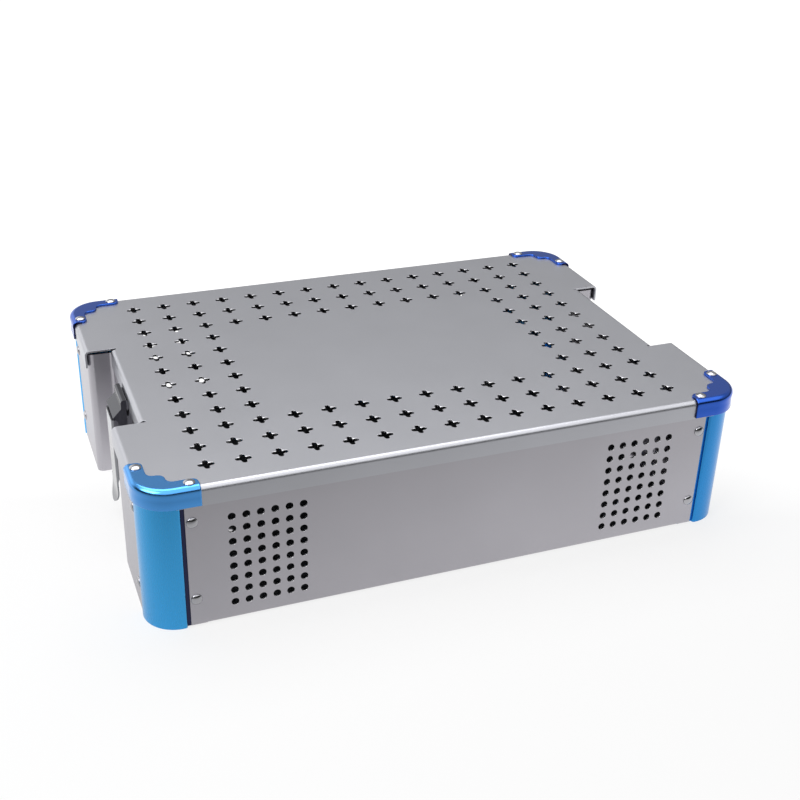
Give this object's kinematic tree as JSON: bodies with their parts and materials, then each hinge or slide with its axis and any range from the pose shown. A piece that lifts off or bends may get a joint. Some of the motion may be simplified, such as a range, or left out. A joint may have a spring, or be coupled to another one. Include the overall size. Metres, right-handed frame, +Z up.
{
  "type": "sterilization container",
  "caption": "Low perforated sheet-metal instrument container with blue corner posts, a lift-off lid with cross holes and a draw latch in each end recess.",
  "frame": {"origin": "on the floor, under the middle of the closed container", "axes": "+X along the long side, towards the right end panel; +Y to the back panel; +Z up"},
  "size_m": [0.465, 0.3288, 0.1148],
  "materials": {
    "case_sheet": "satin",
    "lid_sheet": "satin",
    "corner_post": "satin",
    "corner_bracket": "satin",
    "rivet": "polished",
    "latch_steel": "polished",
    "silicone": "matte"
  },
  "bodies": {
    "case": {"front_panel": "case_sheet", "back_panel": "case_sheet", "left_end_panel": "case_sheet", "right_end_panel": "case_sheet", "base_plate": "case_sheet", "silicone_mat": "silicone", "front_left_post": "corner_post", "front_right_post": "corner_post", "back_left_post": "corner_post", "back_right_post": "corner_post", "panel_rivets": "rivet", "left_latch_base": "latch_steel", "left_latch_rivets": "latch_steel", "left_hinge_pin": "latch_steel", "right_latch_base": "latch_steel", "right_latch_rivets": "latch_steel", "right_hinge_pin": "latch_steel"},
    "lid": {"lid_sheet": "lid_sheet", "front_left_bracket": "corner_bracket", "front_right_bracket": "corner_bracket", "back_left_bracket": "corner_bracket", "back_right_bracket": "corner_bracket", "bracket_rivets": "rivet", "left_strike": "latch_steel", "left_strike_rivets": "latch_steel", "right_strike": "latch_steel", "right_strike_rivets": "latch_steel"},
    "left_lever": {"left_lever": "latch_steel", "left_claw_pin": "latch_steel"},
    "right_lever": {"right_lever": "latch_steel", "right_claw_pin": "latch_steel"},
    "left_claw": {"left_claw": "latch_steel"},
    "right_claw": {"right_claw": "latch_steel"}
  },
  "joints": [
    {"name": "lid_lift", "type": "slide", "parent": "case", "child": "lid", "axis": [0, 0, 1], "range_m": [0, 0.12]},
    {"name": "left_lever_swing", "type": "hinge", "parent": "case", "child": "left_lever", "pos_m": [-0.2175, 0, 0.085], "axis": [0, 1, 0], "range_deg": [0, 95]},
    {"name": "left_claw_turn", "type": "hinge", "parent": "left_lever", "child": "left_claw", "pos_m": [-0.216, 0, 0.0755], "axis": [0, -1, 0], "range_deg": [0, 114]},
    {"name": "right_lever_swing", "type": "hinge", "parent": "case", "child": "right_lever", "pos_m": [0.2175, 0, 0.085], "axis": [0, -1, 0], "range_deg": [0, 95]},
    {"name": "right_claw_turn", "type": "hinge", "parent": "right_lever", "child": "right_claw", "pos_m": [0.216, 0, 0.0755], "axis": [0, 1, 0], "range_deg": [0, 114]}
  ],
  "couplings": [
    {"joint": "left_claw_turn", "follows": "left_lever_swing", "ratio": 1.2},
    {"joint": "right_claw_turn", "follows": "right_lever_swing", "ratio": 1.2}
  ]
}
